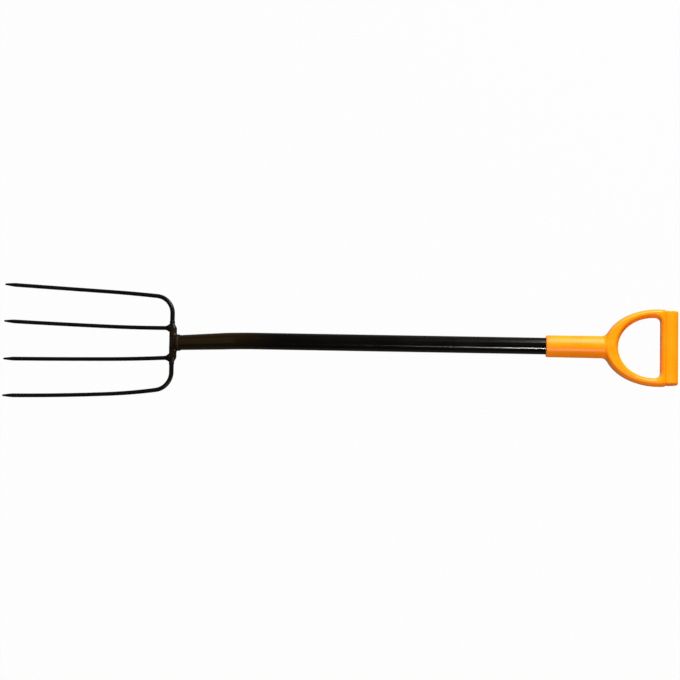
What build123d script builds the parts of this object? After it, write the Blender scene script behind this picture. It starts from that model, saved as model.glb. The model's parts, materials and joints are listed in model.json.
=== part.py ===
from build123d import *
import math
import os

# A long-handled hand fork: four slim arched tines on a forged yoke, a cranked
# steel tube for a shaft, and a moulded D grip.
#
# Every piece is drawn in the tool's own frame, millimetres:
#   X runs along the straight shaft, from the tines towards the grip,
#   Y runs across the tines, Z points out of the load side,
#   and the origin is where the neck's axis meets the shaft's axis, at the crank.
# The last section lays the finished tool down on the floor, load side up.

# ---------------------------------------------------------------- driving dimensions

# Shaft tube: its section is a drop, a wide round back over a narrow keel.
tube_back_radius = 15.0
tube_keel_drop = 2.6        # the keel reaches this much further from the axis than the back
tube_keel_radius = 6.0
tube_wall = 1.6
shaft_run = 550.0           # crank to the mouth of the grip
tube_in_grip = 92.0

# Neck: the tube is cranked, then swaged down to a round mouth over the yoke's tang.
crank_angle = 18.7
crank_radius = 180.0
neck_reach = 128.3          # crank to the middle of the yoke
neck_radius = 13.4
neck_wall = 1.8

# Yoke: a forged cross-piece with a round hub and a tang.
yoke_block_half = 27.0      # half length of the full-size middle
yoke_half = 37.0            # half length, out to the outer rods
yoke_width = 13.4
yoke_height = 13.0
yoke_roundness = 0.44       # corner radius of its sections, as a share of their size
hub_length = 10.5
hub_edge = 4.5
tang_length = 50.0          # it widens with the tube's bore
tang_chamfer = 2.0
tang_clearance = 0.05
root_clearance = 0.05       # of the inner tines in their blind holes

# Tines: round rods, thicker where they start.
rod_radius = 4.2            # of the cross rods, at the yoke's ends
rod_forward = 1.9           # their axis lies this far in front of the yoke's middle
corner_straight = 16.4      # straight stretch of the cross rods, beyond the yoke
corner_radius = 32.5
corner_dip = 10.8           # slope of the plane that a corner lies in
outer_splay = 6.8           # outward heading of an outer tine as it leaves its corner
outer_belly_spread = 7.7    # an outer tine strays outwards this far from corner to belly
outer_tip_spread = 8.1      # and this far from belly to tip
inner_root_half = 26.9
inner_splay = 1.4
inner_root_radius = 3.7
corner_rod_radius = 3.8     # of an outer tine as it leaves its corner
tine_radius = 3.5
tine_seat = 1.5             # the inner tines start this far in front of the yoke's middle
belly_distance = 118.0      # yoke to the lowest point of the arch
belly_drop = 14.2
tip_distance = 306.0
tip_rise = 17.4             # tip above the belly
point_length = 19.0
point_radius = 1.4

# Welds.
tine_weld_reach = 16.6      # the flared welds end this far in front of the yoke's middle
tine_weld_radius = 8.0
tine_weld_root = 4.0        # and start this far in front of it
tine_weld_hollow = 0.28     # how much of the flare is left half way along
butt_weld_half = 4.0
butt_weld_height = 0.7
neck_weld_half = 4.2
neck_weld_height = 1.9
weld_root = 0.6             # how deep a bead bites below the surface it lies on

# Grip: socket and D ring, with a hollow cross-bar closed by a cap.
socket_wall = 3.3           # at its thinnest, over the back and the keel
socket_taper = 0.4          # its radius grows by this from the mouth to the ring
socket_length = 103.4
socket_clearance = 0.05
ring_half_width = 69.9      # the ring's outline is half an ellipse, out to the bar
ring_reach = 98.8
ring_root_length = 26.0     # from its start to the opening, which is half an ellipse too
ring_arm_width = 14.9       # at its widest, beside the bar
opening_back = 8.1          # the opening's middle lies this far behind the ring's
opening_corner = 10.0
ring_root_extra = 0.5       # how far the ring's root stands above the socket
ring_arm_height = 13.5      # half thickness of its arms
ring_edge = 5.5
ring_shoulder = 19.5        # where the root begins to thin down, and how far it has by then
ring_settle = 0.6
ring_waist = 65.0           # where it reaches the arms' thickness
socket_into_ring = 18.0     # the socket runs this far into the ring's root
mouth_edge = 2.0
bar_forward = 20.4          # the bar's axis lies this far beyond the ring's middle
bar_half_depth = 16.4       # of the bar's oval, along the shaft
bar_half_height = 17.5
bar_flat_cut = 1.0          # the oval is cut flat this far short of its far side
bar_wall = 2.6
bar_short = 3.5             # its ends lie this far within the ring's width
bar_face_edge = 3.0
seam_back = 8.3             # the cap meets the body this far behind the bar's axis
tongue_length = 4.0
tongue_short = 19.2         # the tongue's ends lie this far within the bar's
tongue_thickness = 1.8
tongue_clearance = 0.12

# Grip screw, in the underside of the socket.
screw_from_mouth = 38.0
screw_radius = 2.0
screw_head_radius = 4.2
screw_head_height = 2.6
screw_sunk = 0.4
screw_point = 8.0           # shank beyond the tube's wall
screw_clearance = 0.05
screw_recess = 1.5

# ---------------------------------------------------------------- places that follow

crank = math.radians(crank_angle)
crank_tangent = crank_radius * math.tan(crank / 2)
neck_dir = Vector(math.cos(crank), 0, math.sin(crank))      # up the neck, to the shaft
yoke_middle = neck_dir * -neck_reach
head_dip = 2 * math.atan(belly_drop / belly_distance)       # so that the belly lies level
head_dir = Vector(-math.cos(head_dip), 0, -math.sin(head_dip))
tube_keel_depth = tube_back_radius + tube_keel_drop
corner_start = yoke_half + corner_straight
tip_share = 1 - point_length / (tip_distance - belly_distance)
end_distance = tip_distance - point_length                   # where a tine's point begins
end_height = tip_rise * tip_share ** 2 - belly_drop
outer_leave_half = corner_start + corner_radius * math.cos(math.radians(outer_splay))
outer_belly_half = outer_leave_half + outer_belly_spread
outer_end_half = outer_belly_half + outer_tip_spread * tip_share
rod_line = yoke_middle + head_dir * rod_forward
neck_bore = neck_radius - neck_wall
taper_start = neck_reach - crank_tangent                    # where the drop begins to turn round
taper_share = tang_length / (taper_start - hub_length)
tube_bore = tube_back_radius - tube_wall
tang_end_radius = neck_bore + (tube_bore - neck_bore) * taper_share - tang_clearance
screw_place = shaft_run + screw_from_mouth
grip_drop = tube_keel_drop / 2              # the socket is centred on the drop
socket_mouth_radius = tube_back_radius + grip_drop + socket_wall
socket_end_radius = socket_mouth_radius + socket_taper
ring_root_height = socket_end_radius + ring_root_extra
ring_centre = shaft_run + socket_length + ring_reach
opening_centre = ring_centre - opening_back
opening_reach = ring_reach - ring_root_length - opening_back
opening_half_width = ring_half_width - ring_arm_width
bar_middle = ring_centre + bar_forward
seam = bar_middle - seam_back
bar_face = bar_middle + bar_half_depth - bar_flat_cut
bar_half_length = ring_half_width - bar_short
tongue_half = bar_half_length - tongue_short
bar_inner = bar_middle - bar_half_depth
ring_start = ring_centre - ring_reach - ring_edge
screw_plane = Plane(
    origin=(screw_place, 0, -grip_drop - socket_mouth_radius), x_dir=(1, 0, 0), z_dir=(0, 0, 1)
)
head_plane = screw_plane.offset(screw_sunk)
shank_end = socket_mouth_radius + grip_drop - tube_keel_depth + tube_wall + screw_point


def across(distance):
    """Plane square to the shaft, at a distance from the crank: X across, Y up."""
    return Plane(origin=(distance, 0, 0), x_dir=(0, 1, 0), z_dir=(1, 0, 0))


def across_neck(distance):
    """Plane square to the neck, at a distance from the yoke's middle, facing the shaft."""
    return Plane(
        origin=yoke_middle + neck_dir * distance, x_dir=(0, 1, 0), z_dir=neck_dir
    )


def inner_heading(side):
    """Direction in which an inner tine leaves the yoke; side is 1 on the left, -1 on the right."""
    splay = math.radians(inner_splay)
    return head_dir * math.cos(splay) + Vector(0, side * math.sin(splay), 0)


def inner_root(side):
    """Where an inner tine starts, at the bottom of its blind hole."""
    return yoke_middle + head_dir * tine_seat + Vector(0, side * inner_root_half, 0)


def drop_outline(back_radius, keel_depth, keel_radius):
    """Closed outline of the drop: two arcs joined by straight flanks."""
    keel_centre = keel_depth - keel_radius
    lean = math.asin((back_radius - keel_radius) / keel_centre)
    back = Vector(math.cos(lean), -math.sin(lean)) * back_radius
    keel = Vector(math.cos(lean), -math.sin(lean)) * keel_radius - Vector(0, keel_centre)
    back_other = Vector(-back.X, back.Y)
    keel_other = Vector(-keel.X, keel.Y)
    ThreePointArc(back, (0, back_radius), back_other)
    Line(back_other, keel_other)
    ThreePointArc(keel_other, (0, -keel_depth), keel)
    Line(keel, back)


def round_outline(radius):
    """Circle cut into the same four edges as the drop."""
    upper = math.radians(-45)
    lower = math.radians(-75)
    middle = (upper + lower) / 2
    back = Vector(math.cos(upper), math.sin(upper)) * radius
    flank = Vector(math.cos(middle), math.sin(middle)) * radius
    keel = Vector(math.cos(lower), math.sin(lower)) * radius
    back_other = Vector(-back.X, back.Y)
    flank_other = Vector(-flank.X, flank.Y)
    keel_other = Vector(-keel.X, keel.Y)
    ThreePointArc(back, (0, radius), back_other)
    ThreePointArc(back_other, flank_other, keel_other)
    ThreePointArc(keel_other, (0, -radius), keel)
    ThreePointArc(keel, flank, back)


# ---------------------------------------------------------------- yoke

bar_sections = [
    # place across, width, height, how far in front of the yoke's middle
    (-yoke_half, 2 * rod_radius, 2 * rod_radius, rod_forward),
    (-yoke_block_half, yoke_width, yoke_height, 0),
    (yoke_block_half, yoke_width, yoke_height, 0),
    (yoke_half, 2 * rod_radius, 2 * rod_radius, rod_forward),
]

with BuildPart() as yoke:
    with BuildSketch(across_neck(0)):
        Circle(neck_radius)
    extrude(amount=hub_length)
    fillet(yoke.edges().sort_by(Axis(yoke_middle, neck_dir))[0], hub_edge)
    for near, far in zip(bar_sections[:-1], bar_sections[1:]):
        for side, width, height, forward in (near, far):
            place = yoke_middle + head_dir * forward + Vector(0, side, 0)
            with BuildSketch(Plane(origin=place, x_dir=-head_dir, z_dir=(0, 1, 0))):
                RectangleRounded(width, height, yoke_roundness * min(width, height))
        loft()
    with BuildSketch(across_neck(hub_length)):
        Circle(neck_bore - tang_clearance)
    with BuildSketch(across_neck(hub_length + tang_length)):
        Circle(tang_end_radius)
    loft()
    chamfer(yoke.edges().filter_by(GeomType.CIRCLE).sort_by(Axis.X)[-1], tang_chamfer)
    for side in (1, -1):
        with BuildSketch(Plane(origin=inner_root(side), z_dir=inner_heading(side))):
            Circle(inner_root_radius + root_clearance)
        extrude(amount=yoke_width, mode=Mode.SUBTRACT)


# ---------------------------------------------------------------- tines

def at_station(distance, half, height):
    """A place on a tine's axis, measured from the yoke's middle."""
    return yoke_middle + Vector(-distance, half, height)


def rod_piece(runs, start_radii):
    """Round rod along tangent runs: a radius for the start of each run, then the point."""
    end_radii = start_radii[1:] + [tine_radius]
    with BuildPart() as rod:
        for run, start_radius, end_radius in zip(runs, start_radii, end_radii):
            with BuildSketch(Plane(origin=run @ 0, z_dir=run % 0)):
                Circle(start_radius)
            with BuildSketch(Plane(origin=run @ 1, z_dir=run % 1)):
                Circle(end_radius)
            sweep(path=run, multisection=True)
        end = runs[-1] @ 1
        heading = runs[-1] % 1
        with BuildSketch(Plane(origin=end, z_dir=heading)):
            Circle(tine_radius)
        with BuildSketch(Plane(origin=end + heading * point_length, z_dir=heading)):
            Circle(point_radius)
        loft()
    return rod


def inner_tine(side):
    """Straight in plan, and arched in two arcs that meet at the belly."""
    heading = inner_heading(side)
    root = inner_root(side)
    weld_end = root + heading * (tine_weld_reach - tine_seat)
    slope = math.tan(math.radians(inner_splay))
    belly_half = inner_root_half + belly_distance * slope
    end_half = inner_root_half + end_distance * slope
    with BuildLine():
        straight = Line(root, weld_end)
        back = TangentArc(
            weld_end, at_station(belly_distance, side * belly_half, -belly_drop), tangent=heading
        )
        front = TangentArc(
            back @ 1, at_station(end_distance, side * end_half, end_height), tangent=back % 1
        )
    return rod_piece([straight, back, front], [inner_root_radius, inner_root_radius, tine_radius])


def outer_tine(side):
    """Straight out from the yoke, round the corner, then arched like the inner ones."""
    splay = math.radians(outer_splay)
    dip = math.radians(corner_dip)
    outward = Vector(0, side, 0)
    forward = Vector(-math.cos(dip), 0, -math.sin(dip))
    heading = forward * math.cos(splay) + outward * math.sin(splay)
    start = rod_line + outward * yoke_half
    turn = rod_line + outward * corner_start
    leave = turn + forward * corner_radius * (1 - math.sin(splay))
    leave += outward * (outer_leave_half - corner_start)
    with BuildLine():
        straight = Line(start, turn)
        corner = TangentArc(turn, leave, tangent=outward)
        back = TangentArc(
            leave, at_station(belly_distance, side * outer_belly_half, -belly_drop), tangent=heading
        )
        front = TangentArc(
            back @ 1, at_station(end_distance, side * outer_end_half, end_height), tangent=back % 1
        )
    return rod_piece(
        [straight, corner, back, front], [rod_radius, rod_radius, corner_rod_radius, tine_radius]
    )


inner_tine_left = inner_tine(1)
inner_tine_right = inner_tine(-1)
outer_tine_left = outer_tine(1)
outer_tine_right = outer_tine(-1)


# ---------------------------------------------------------------- shaft tube

with BuildPart() as shaft_tube:
    straight_end = shaft_run + tube_in_grip
    for inset, way in ((0, Mode.ADD), (tube_wall, Mode.SUBTRACT)):
        sizes = (tube_back_radius - inset, tube_keel_depth - inset, tube_keel_radius - inset)
        mouth_radius = neck_radius if way == Mode.ADD else neck_bore
        with BuildSketch(across(crank_tangent)):
            with BuildLine():
                drop_outline(*sizes)
            make_face()
        extrude(amount=straight_end - crank_tangent, mode=way)
        with BuildSketch(across(crank_tangent)):
            with BuildLine():
                drop_outline(*sizes)
            make_face()
        revolve(
            axis=Axis((crank_tangent, 0, -crank_radius), (0, 1, 0)),
            revolution_arc=-crank_angle,
            mode=way,
        )
        with BuildSketch(across_neck(taper_start)):
            with BuildLine():
                drop_outline(*sizes)
            make_face()
        with BuildSketch(across_neck(hub_length)):
            with BuildLine():
                round_outline(mouth_radius)
            make_face()
        loft(mode=way)
    with BuildSketch(Plane(origin=(screw_place, 0, 0), z_dir=(0, 0, -1))):
        Circle(screw_radius + screw_clearance)
    extrude(amount=tube_keel_depth + 1, mode=Mode.SUBTRACT)


# ---------------------------------------------------------------- welds

def flare_weld(side, tine):
    """Flared weld where an inner tine leaves the yoke."""
    heading = inner_heading(side)
    axis_start = inner_root(side) - heading * tine_seat
    profile_plane = Plane(origin=axis_start, x_dir=heading, z_dir=heading.cross(Vector(0, 1, 0)))
    with BuildPart() as weld:
        with BuildSketch(profile_plane):
            with BuildLine():
                base = Line((tine_weld_root, 0), (tine_weld_root, tine_weld_radius))
                rim = Line(base @ 1, (yoke_width / 2, tine_weld_radius))
                waist = inner_root_radius + tine_weld_hollow * (tine_weld_radius - inner_root_radius)
                middle = (yoke_width / 2 + tine_weld_reach) / 2
                skirt = ThreePointArc(
                    rim @ 1, (middle, waist), (tine_weld_reach, inner_root_radius)
                )
                Line(skirt @ 1, (tine_weld_reach, 0))
                Line((tine_weld_reach, 0), base @ 0)
            make_face()
        revolve(axis=Axis(axis_start, heading))
        add(yoke.part, mode=Mode.SUBTRACT)
        add(tine.part, mode=Mode.SUBTRACT)
    return weld


def bead_weld(middle, direction, radius, half, height, neighbours):
    """Ring of weld round a seam: an oval bead, cut to what it lies on."""
    bead_plane = Plane(origin=middle, x_dir=direction, z_dir=direction.cross(Vector(0, 0, 1)))
    with BuildPart() as weld:
        with BuildSketch(bead_plane):
            with Locations((0, radius)):
                Ellipse(half, height)
            with Locations((0, radius - weld_root)):
                Rectangle(2 * half, height, align=(Align.CENTER, Align.MAX), mode=Mode.SUBTRACT)
        revolve(axis=Axis(middle, direction))
        for neighbour in neighbours:
            add(neighbour.part, mode=Mode.SUBTRACT)
    return weld


with BuildPart() as tine_welds:
    for side, outer, inner in (
        (1, outer_tine_left, inner_tine_left), (-1, outer_tine_right, inner_tine_right)
    ):
        flare = flare_weld(side, inner)
        seam_middle = rod_line + Vector(0, side * yoke_half, 0)
        bead = bead_weld(
            seam_middle, Vector(0, 1, 0), rod_radius, butt_weld_half, butt_weld_height, (yoke, outer)
        )
        add(flare.part)
        add(bead.part)

neck_weld = bead_weld(
    yoke_middle + neck_dir * hub_length,
    neck_dir,
    neck_radius,
    neck_weld_half,
    neck_weld_height,
    (yoke, shaft_tube),
)


# ---------------------------------------------------------------- grip

def bar_piece(inset, half_length, start, stop):
    """Stretch of the cross-bar's oval, drawn in by an inset, between two planes."""
    with BuildPart() as piece:
        with BuildSketch(Plane.XZ):
            with Locations((bar_middle, -grip_drop)):
                Ellipse(bar_half_depth - inset, bar_half_height - inset)
            with Locations((bar_face - inset, -grip_drop)):
                Rectangle(
                    bar_half_depth, 3 * bar_half_height,
                    align=(Align.MIN, Align.CENTER), mode=Mode.SUBTRACT,
                )
        extrude(amount=half_length, both=True)
        split(bisect_by=across(start), keep=Keep.TOP)
        split(bisect_by=across(stop), keep=Keep.BOTTOM)
    return piece.part


hollow_half_length = bar_half_length - bar_wall
bar_start = bar_middle - 2 * bar_half_depth
bar_stop = bar_middle + 2 * bar_half_depth
inner_bar = bar_piece(0, bar_half_length, bar_start, seam)
inner_hollow = bar_piece(bar_wall, hollow_half_length, bar_start, seam)
outer_bar = bar_piece(0, bar_half_length, seam, bar_stop)
outer_hollow = bar_piece(bar_wall, hollow_half_length, seam, bar_stop)
tongue_inset = bar_wall + tongue_clearance
tongue = bar_piece(tongue_inset, tongue_half, seam - tongue_length, seam)
tongue_root = bar_piece(bar_wall / 2, tongue_half, seam, seam + tongue_length)
tongue_inside = bar_piece(
    tongue_inset + tongue_thickness, bar_half_length, seam - 2 * tongue_length, seam + 2 * tongue_length
)

with BuildPart() as grip_body:
    # ring, seen along Z
    with BuildSketch(Plane.XY.offset(-grip_drop)):
        with Locations((ring_centre, 0)):
            Ellipse(ring_reach, ring_half_width)
        with Locations((seam, 0)):
            Rectangle(
                ring_reach, 3 * ring_half_width, align=(Align.MIN, Align.CENTER), mode=Mode.SUBTRACT
            )
        with BuildSketch(mode=Mode.SUBTRACT) as opening:
            with Locations((opening_centre, 0)):
                Ellipse(opening_reach, opening_half_width)
            with Locations((bar_inner, 0)):
                Rectangle(
                    ring_reach, 3 * ring_half_width,
                    align=(Align.MIN, Align.CENTER), mode=Mode.SUBTRACT,
                )
            fillet(opening.vertices(), opening_corner)
    extrude(amount=2 * ring_root_height, both=True)
    # and its thickness, seen from the side
    with BuildSketch(Plane.XZ):
        with BuildLine():
            upper = Spline(
                (ring_start, ring_root_height - grip_drop),
                (ring_start + ring_shoulder, ring_root_height - ring_settle - grip_drop),
                (ring_start + ring_waist, ring_arm_height - grip_drop),
                (seam, ring_arm_height - grip_drop),
                tangents=((1, 0), (1, 0)),
            )
            lower = Spline(
                (ring_start, -ring_root_height - grip_drop),
                (ring_start + ring_shoulder, -ring_root_height + ring_settle - grip_drop),
                (ring_start + ring_waist, -ring_arm_height - grip_drop),
                (seam, -ring_arm_height - grip_drop),
                tangents=((1, 0), (1, 0)),
            )
            Line(upper @ 0, lower @ 0)
            Line(upper @ 1, lower @ 1)
        make_face()
    extrude(amount=2 * ring_half_width, both=True, mode=Mode.INTERSECT)
    rims = grip_body.edges().filter_by(
        lambda edge: abs(edge.center().Z + grip_drop) > ring_arm_height / 2
        and edge.center().X < seam - 0.5
    )
    fillet(rims, ring_edge)
    # inner half of the cross-bar
    add(inner_bar)
    # socket
    with BuildSketch(across(shaft_run)):
        with Locations((0, -grip_drop)):
            Circle(socket_mouth_radius)
    with BuildSketch(across(shaft_run + socket_length)):
        with Locations((0, -grip_drop)):
            Circle(socket_end_radius)
    loft()
    with BuildSketch(across(shaft_run + socket_length)):
        with Locations((0, -grip_drop)):
            Circle(socket_end_radius)
    extrude(amount=socket_into_ring)
    mouth = grip_body.edges().filter_by(GeomType.CIRCLE).sort_by(Axis.X)[0]
    fillet(mouth, mouth_edge)
    # hollows: the bar's, the tube's seat and the screw's hole
    add(inner_hollow, mode=Mode.SUBTRACT)
    with BuildSketch(across(shaft_run)):
        with BuildLine():
            drop_outline(
                tube_back_radius + socket_clearance,
                tube_keel_depth + socket_clearance,
                tube_keel_radius + socket_clearance,
            )
        make_face()
    extrude(amount=tube_in_grip, mode=Mode.SUBTRACT)
    with BuildSketch(screw_plane):
        Circle(screw_radius + screw_clearance)
    extrude(amount=socket_mouth_radius, mode=Mode.SUBTRACT)
    with BuildSketch(head_plane):
        Circle(screw_head_radius + screw_clearance)
    extrude(amount=-2 * screw_head_height, mode=Mode.SUBTRACT)
    with BuildSketch(head_plane):
        Circle(screw_head_radius + screw_clearance)
    with BuildSketch(head_plane.offset(screw_head_height)):
        Circle(screw_radius + screw_clearance)
    loft(mode=Mode.SUBTRACT)

with BuildPart() as grip_cap:
    add(outer_bar)
    fillet(grip_cap.faces().sort_by(Axis.X)[-1].edges(), bar_face_edge)
    add(outer_hollow, mode=Mode.SUBTRACT)
    add(tongue_root)
    add(tongue)
    add(tongue_inside, mode=Mode.SUBTRACT)

with BuildPart() as grip_screw:
    with BuildSketch(head_plane):
        Circle(screw_head_radius)
    with BuildSketch(head_plane.offset(screw_head_height)):
        Circle(screw_radius)
    loft()
    with BuildSketch(head_plane.offset(screw_head_height)):
        Circle(screw_radius)
    extrude(amount=shank_end - screw_sunk - screw_head_height - screw_radius)
    with BuildSketch(screw_plane.offset(shank_end - screw_radius)):
        Circle(screw_radius)
    with BuildSketch(screw_plane.offset(shank_end)):
        Circle(screw_radius / 4)
    loft()
    with BuildSketch(head_plane):
        RegularPolygon(screw_recess, 6)
    extrude(amount=screw_recess, mode=Mode.SUBTRACT)


# ---------------------------------------------------------------- laid on the floor

pieces = {
    "shaft_tube": shaft_tube,
    "yoke": yoke,
    "neck_weld": neck_weld,
    "inner_tine_left": inner_tine_left,
    "inner_tine_right": inner_tine_right,
    "outer_tine_left": outer_tine_left,
    "outer_tine_right": outer_tine_right,
    "tine_welds": tine_welds,
    "grip_body": grip_body,
    "grip_cap": grip_cap,
    "grip_screw": grip_screw,
}

# The tool rests on the bellies of its tines and on the grip's bar: it is tipped about Y
# until both are equally low, then moved so that its box stands centred on the origin.
tilt = 0
for _ in range(4):
    tipped = Location((0, 0, 0), (0, tilt, 0))
    tines_box = inner_tine_left.part.moved(tipped).bounding_box()
    grip_box = grip_cap.part.moved(tipped).bounding_box()
    fall = grip_box.min.Z - tines_box.min.Z
    tilt += math.degrees(math.atan2(fall, bar_middle - yoke_middle.X + belly_distance))
tipped = Location((0, 0, 0), (0, tilt, 0))
everything = Compound(children=[piece.part.moved(tipped) for piece in pieces.values()])
box = everything.bounding_box()
middle = box.center()
on_floor = Location((-middle.X, -middle.Y, -box.min.Z)) * tipped

os.makedirs("parts", exist_ok=True)
for name, piece in pieces.items():
    laid = piece.part.moved(on_floor)
    laid.label = name
    export_step(laid, f"parts/{name}.step")
print("tilt", round(tilt, 3), "size", box.size, "crank at", on_floor.position)
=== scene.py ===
import json
import math

import bpy
import numpy as np
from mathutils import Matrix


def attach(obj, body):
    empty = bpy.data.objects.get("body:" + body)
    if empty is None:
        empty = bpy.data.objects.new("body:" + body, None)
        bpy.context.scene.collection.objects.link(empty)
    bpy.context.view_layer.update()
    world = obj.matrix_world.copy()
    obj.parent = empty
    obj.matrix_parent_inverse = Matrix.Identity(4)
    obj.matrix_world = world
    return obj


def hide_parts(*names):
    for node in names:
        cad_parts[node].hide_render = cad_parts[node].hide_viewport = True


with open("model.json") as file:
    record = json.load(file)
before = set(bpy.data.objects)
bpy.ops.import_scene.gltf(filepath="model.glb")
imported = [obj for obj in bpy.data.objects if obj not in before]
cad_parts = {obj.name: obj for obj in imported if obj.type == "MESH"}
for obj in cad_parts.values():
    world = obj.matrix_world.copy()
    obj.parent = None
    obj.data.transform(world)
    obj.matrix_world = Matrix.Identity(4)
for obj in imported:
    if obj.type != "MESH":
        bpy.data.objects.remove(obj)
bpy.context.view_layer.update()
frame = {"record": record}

import openvdb
from mathutils import Matrix, Vector

# A long-handled hand fork: four slim arched tines on a forged yoke, a cranked steel
# tube for a shaft, and a moulded D grip closed by a cap along its cross-bar.
#
# Each piece is drawn in the tool's own frame, in millimetres, and then laid into the
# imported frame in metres: X runs along the shaft from the tines to the grip, Y across
# the tines, Z out of the load side, and the origin is the crank of the shaft.

# ---------------------------------------------------------------- sizes, in millimetres

# Shaft tube: a drop in section, a wide round back over a narrow keel.
TUBE_BACK_RADIUS = 15.0
TUBE_KEEL_DEPTH = 17.6
TUBE_KEEL_RADIUS = 6.0
TUBE_WALL = 1.6
SHAFT_RUN = 550.0
TUBE_IN_GRIP = 92.0

# Neck: cranked, and swaged round over the yoke's tang.
CRANK = math.radians(18.7)
CRANK_RADIUS = 180.0
NECK_REACH = 128.3
NECK_RADIUS = 13.4

# Yoke.
YOKE_BLOCK_HALF = 27.0
YOKE_HALF = 37.0
YOKE_WIDTH = 13.4
YOKE_HEIGHT = 13.0
YOKE_ROUNDNESS = 0.44       # corner radius, as a share of the smaller thickness
YOKE_END_ROUNDER = 0.12     # how much of that share its ends gain
YOKE_TAPER_OVERRUN = 2.0
YOKE_FILLET = 5.0           # where the hub grows out of the bar
YOKE_END_EDGE = 0.3
HUB_LENGTH = 10.5
HUB_EDGE = 4.5
HAMMER_DEPTH = 0.5
HAMMER_MARKS_PER_MM = 0.16

# Tines.
ROD_RADIUS = 4.2
ROD_FORWARD = 1.9
CORNER_STRAIGHT = 16.4
CORNER_RADIUS = 32.5
CORNER_DIP = math.radians(10.8)
OUTER_SPLAY = math.radians(6.8)
OUTER_BELLY_SPREAD = 7.7
OUTER_TIP_SPREAD = 8.1
INNER_ROOT_HALF = 26.9
INNER_SPLAY = math.radians(1.4)
INNER_ROOT_RADIUS = 3.7
CORNER_ROD_RADIUS = 3.8
TINE_RADIUS = 3.5
TINE_SEAT = 1.5
BELLY_DISTANCE = 118.0
BELLY_DROP = 14.2
TIP_DISTANCE = 306.0
TIP_RISE = 17.4
POINT_LENGTH = 19.0
POINT_RADIUS = 1.4
POINT_FULLNESS = 1.25       # above 1 the point is bellied, at 1 a plain cone
POINT_BLUNT_SHARE = 0.04    # of its length, rounded off at the tip
POINT_LEAST_RADIUS = 0.03

# Welds.
FLARE_START = 4.0
FLARE_END = 16.6
FLARE_RADIUS = 7.9
FLARE_HOLLOWNESS = 1.9      # power with which the flare falls away
BUTT_HALF = 3.4
BUTT_HEIGHT = 0.7
BUTT_PITCH = 1.9
NECK_BEAD_HALF = 4.0
NECK_BEAD_HEIGHT = 1.8
NECK_BEAD_PITCH = 2.6
DROP_OVERLAP = 1.15         # length of a weld drop, in pitches
BEAD_VOXELS_HIGH = 5

# Grip.
GRIP_DROP = 1.3
SOCKET_MOUTH_RADIUS = 19.6
SOCKET_END_RADIUS = 20.0
SOCKET_LENGTH = 103.4
SOCKET_INTO_RING = 18.0
MOUTH_EDGE = 2.0
BORE_CLEARANCE = 0.05
RING_HALF_WIDTH = 69.9
RING_REACH = 98.8
RING_ROOT_LENGTH = 26.0
RING_ARM_WIDTH = 14.9
OPENING_BACK = 8.1
OPENING_CORNER = 10.0
RING_ROOT_HEIGHT = 20.5
RING_ARM_HEIGHT = 13.5
RING_FULL_LENGTH = 3.0      # behind its start, before it begins to thin
RING_THINNING = 57.0        # over this much it thins to its arms
SHOULDER_FILLET = 2.0       # socket to ring, above and below
SHOULDER_SIDE_FILLET = 6.0  # added to it at the sides
BAR_FILLET = 4.0
RING_EDGE = 7.2             # of the elliptical rounding of its section, in plan
RING_CROWN = 0.85           # and its height, as a share of the half thickness
BAR_FORWARD = 20.4
BAR_HALF_DEPTH = 16.4
BAR_HALF_HEIGHT = 17.5
BAR_FLAT_CUT = 1.0
BAR_SHORT = 3.5
BAR_EDGE = 3.0
SEAM_BACK = 8.3
SEAM_GAP = 0.16
SEAM_EDGE = 0.4
BORE_EDGE = 0.8

# Screw.
SCREW_FROM_MOUTH = 38.0
SCREW_HEAD_RADIUS = 4.2
SCREW_HEAD_HEIGHT = 2.6
SCREW_RADIUS = 2.0
SCREW_SUNK = 0.4
SCREW_LENGTH = 13.0
THREAD_PITCH = 1.4
THREAD_DEPTH = 0.35
SCREW_POINT_LENGTH = 3.0
SCREW_EDGE = 0.25
SEAT_CLEARANCE = 0.1
SEAT_EXTRA_DEPTH = 4.0
SEAT_EDGE = 0.3
RECESS_HALF_WIDTH = 0.45
RECESS_REACH = 2.1
RECESS_SLOPE = 0.6
RECESS_DEPTH = 1.7

# How finely the pieces are meshed.
SHORT_STEPS = 6
CORNER_STEPS = 40
BELLY_STEPS = 70
TIP_STEPS = 110
POINT_STEPS = 24
TINE_SIDES = 28
FLARE_STEPS = 44
FLARE_SIDES = 40
TUBE_SIDES = 80
NECK_ROWS = 40
CRANK_ROWS = 28
SHAFT_ROWS = 90
YOKE_VOXEL = 0.6
BODY_VOXEL = 0.85
CAP_VOXEL = 0.7
SCREW_VOXEL = 0.16

# ---------------------------------------------------------------- places that follow

CRANK_TANGENT = CRANK_RADIUS * math.tan(CRANK / 2)
NECK_DIR = Vector((math.cos(CRANK), 0, math.sin(CRANK)))
YOKE_MIDDLE = NECK_DIR * -NECK_REACH
NECK_SEAM = YOKE_MIDDLE + NECK_DIR * HUB_LENGTH
HEAD_DIP = 2 * math.atan(BELLY_DROP / BELLY_DISTANCE)
HEAD_DIR = Vector((-math.cos(HEAD_DIP), 0, -math.sin(HEAD_DIP)))
ROD_LINE = YOKE_MIDDLE + HEAD_DIR * ROD_FORWARD
CORNER_START = YOKE_HALF + CORNER_STRAIGHT
TAPER_START = NECK_REACH - CRANK_TANGENT
TIP_SHARE = 1 - POINT_LENGTH / (TIP_DISTANCE - BELLY_DISTANCE)
END_DISTANCE = TIP_DISTANCE - POINT_LENGTH
END_HEIGHT = TIP_RISE * TIP_SHARE**2 - BELLY_DROP
OUTER_LEAVE_HALF = CORNER_START + CORNER_RADIUS * math.cos(OUTER_SPLAY)
OUTER_BELLY_HALF = OUTER_LEAVE_HALF + OUTER_BELLY_SPREAD
OUTER_END_HALF = OUTER_BELLY_HALF + OUTER_TIP_SPREAD * TIP_SHARE
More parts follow.
